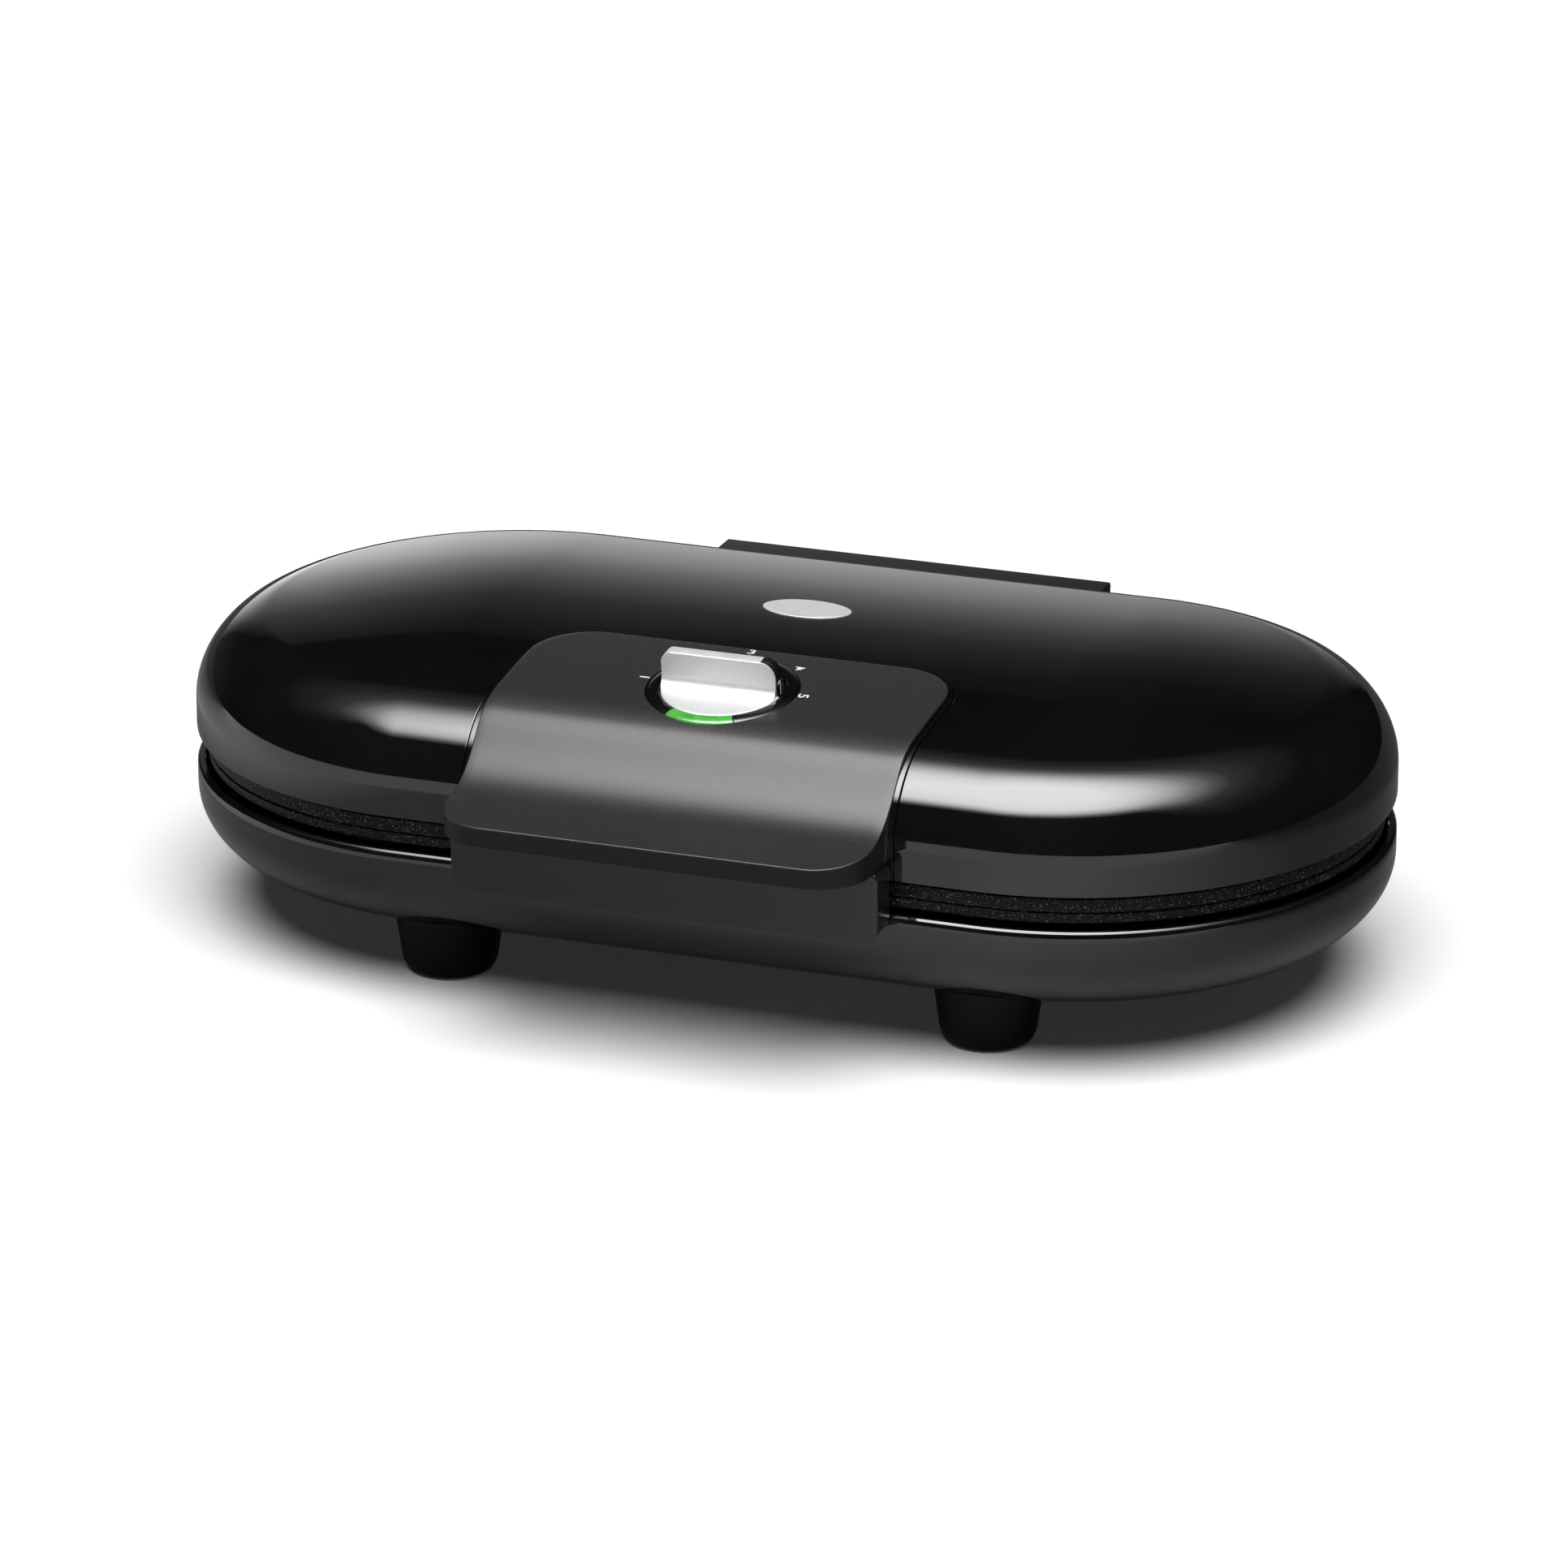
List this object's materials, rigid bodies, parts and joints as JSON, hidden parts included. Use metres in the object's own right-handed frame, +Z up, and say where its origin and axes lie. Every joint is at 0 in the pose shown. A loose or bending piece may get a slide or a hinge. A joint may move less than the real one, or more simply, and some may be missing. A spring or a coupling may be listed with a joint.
{
  "type": "donut maker",
  "caption": "Clamshell countertop appliance that bakes rings between two moulded plates, with a hinged lid, a front grip and a thermostat knob.",
  "frame": {"origin": "on the surface that the feet stand on, under the middle of the box around the closed appliance", "axes": "+X to the right along the long side, +Y from the handle to the hinge, +Z up"},
  "size_m": [0.43, 0.2824, 0.1243],
  "materials": {
    "gloss_black": "high gloss black",
    "matte_black": "fine matte black",
    "dark_plastic": "satin black",
    "non_stick": "dark non-stick coating on cast aluminium",
    "satin_metal": "satin silver",
    "steel": "plain steel",
    "sheet_steel": "bright sheet steel",
    "green_lens": "clear green plastic",
    "rubber": "black rubber",
    "white_plastic": "off-white insulating plastic",
    "wire_red": "red insulated wire"
  },
  "bodies": {
    "base": {"base_shell": "gloss_black", "lower_plate": "non_stick", "lower_heating_element": "steel", "lower_heat_shield": "sheet_steel", "base_handle": "dark_plastic", "base_hinge_block": "matte_black", "hinge_pin_left": "steel", "hinge_pin_right": "steel", "foot_front_left": "dark_plastic", "foot_front_right": "dark_plastic", "foot_rear_left": "dark_plastic", "foot_rear_right": "dark_plastic", "foot_pad_front_left": "rubber", "foot_pad_front_right": "rubber", "foot_pad_rear_left": "rubber", "foot_pad_rear_right": "rubber", "cord_gland": "rubber", "terminal_block": "white_plastic", "thermal_fuse": "white_plastic", "lower_plate_screw_left": "steel", "lower_plate_screw_centre": "steel", "lower_plate_screw_right": "steel", "lower_element_wire": "wire_red", "fuse_wire": "wire_red"},
    "lid": {"lid_shell": "gloss_black", "lid_handle_body": "gloss_black", "handle_panel": "matte_black", "upper_plate": "non_stick", "upper_heating_element": "steel", "upper_heat_shield": "sheet_steel", "lid_hinge_block": "matte_black", "dial_ring": "gloss_black", "indicator_lens": "green_lens", "indicator_lamp": "green_lens", "thermostat_body": "steel", "badge": "satin_metal", "upper_plate_screw_left": "steel", "upper_plate_screw_centre": "steel", "upper_plate_screw_right": "steel", "upper_element_wire": "wire_red"},
    "knob": {"knob_core": "dark_plastic", "knob_cap": "satin_metal", "thermostat_shaft": "steel"}
  },
  "joints": [
    {"name": "lid_hinge", "type": "hinge", "parent": "base", "child": "lid", "pos_m": [0, 0.13075, 0.061], "axis": [-1, 0, 0], "range_deg": [0, 100]},
    {"name": "knob_turn", "type": "hinge", "parent": "lid", "child": "knob", "pos_m": [0, -0.06025, 0.1109], "axis": [0, -0.1305, 0.9914], "range_deg": [0, 180]}
  ]
}
